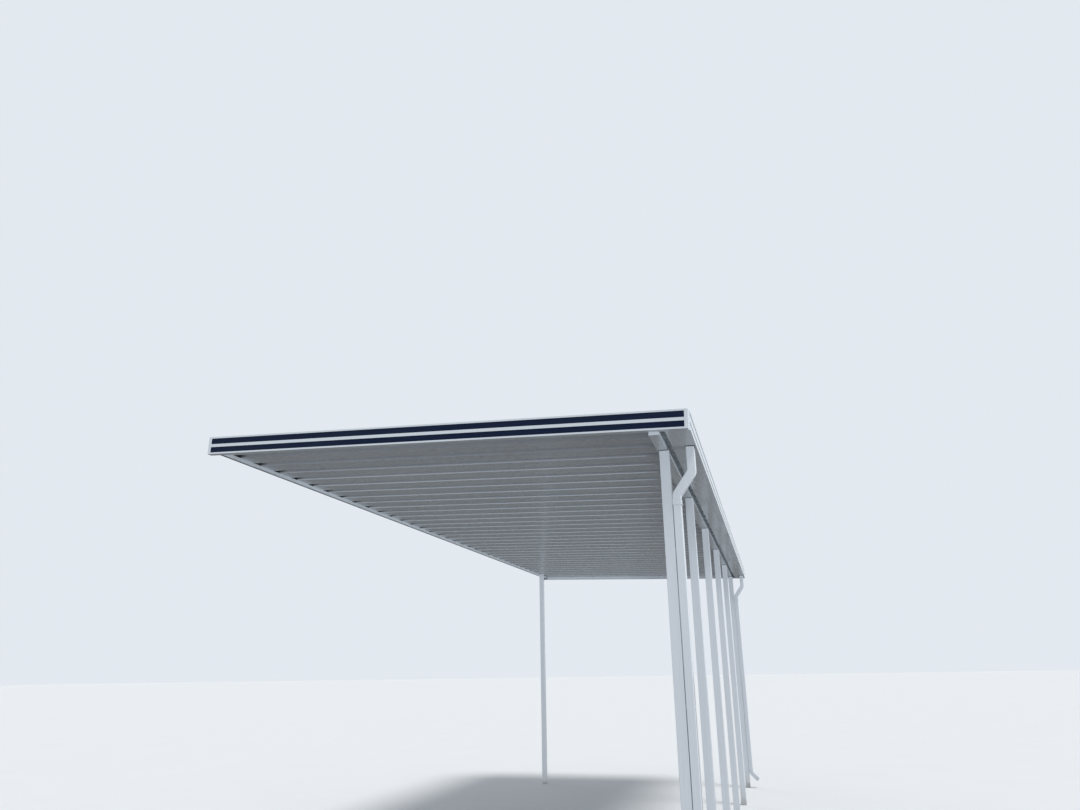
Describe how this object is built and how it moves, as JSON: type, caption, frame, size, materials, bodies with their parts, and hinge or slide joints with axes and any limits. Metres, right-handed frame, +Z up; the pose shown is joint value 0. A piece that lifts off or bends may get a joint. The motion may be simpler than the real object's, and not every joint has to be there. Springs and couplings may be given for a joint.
{
  "type": "attached carport",
  "caption": "Wall-attached aluminium carport: a sloping roof of ribbed pans with banded fascias and a deep gutter, on a wall rail, an eave beam, square posts and downspouts.",
  "frame": {"origin": "On the back face of the wall rail, against the house wall, halfway along the rail and at the height where the underside of the roof meets the wall.", "axes": "X points out from the wall towards the eave, Y runs along the wall from the front end to the rear end, and Z points up."},
  "size_m": [3.9609, 10.691, 3.8539],
  "materials": {
    "pan_white": "semi-gloss white enamel on roll-formed sheet, lightly soiled",
    "frame_white": "semi-gloss white enamel on extrusions",
    "trim_white": "semi-gloss white enamel on extrusions",
    "band_dark": "satin dark enamel",
    "spout_white": "semi-gloss white enamel on folded sheet",
    "bracket_metal": "mill-finish aluminium"
  },
  "bodies": {
    "root": {"roof_pans_01": "pan_white", "roof_pans_02": "pan_white", "roof_pans_03": "pan_white", "roof_pans_04": "pan_white", "roof_pans_05": "pan_white", "roof_pans_06": "pan_white", "roof_pans_07": "pan_white", "roof_pans_08": "pan_white", "roof_pans_09": "pan_white", "roof_pans_10": "pan_white", "roof_pans_11": "pan_white", "roof_pans_12": "pan_white", "wall_rail": "frame_white", "outer_beam": "frame_white", "beam_end_caps": "frame_white", "rear_wall_post": "frame_white", "outer_post_1": "frame_white", "outer_post_2": "frame_white", "outer_post_3": "frame_white", "outer_post_4": "frame_white", "outer_post_5": "frame_white", "outer_post_6": "frame_white", "front_fascia": "trim_white", "rear_fascia": "trim_white", "front_fascia_caps": "trim_white", "rear_fascia_caps": "trim_white", "gutter": "trim_white", "gutter_end_caps": "trim_white", "front_lower_band": "band_dark", "front_upper_band": "band_dark", "rear_lower_band": "band_dark", "rear_upper_band": "band_dark", "post_foot_brackets": "bracket_metal", "post_head_brackets": "bracket_metal", "front_outlet": "spout_white", "front_downspout_offset": "spout_white", "front_downspout_pipe": "spout_white", "front_downspout_shoe": "spout_white", "front_downspout_clips": "spout_white", "rear_outlet": "spout_white", "rear_downspout_offset": "spout_white", "rear_downspout_pipe": "spout_white", "rear_downspout_shoe": "spout_white", "rear_downspout_clips": "spout_white"}
  },
  "joints": []
}
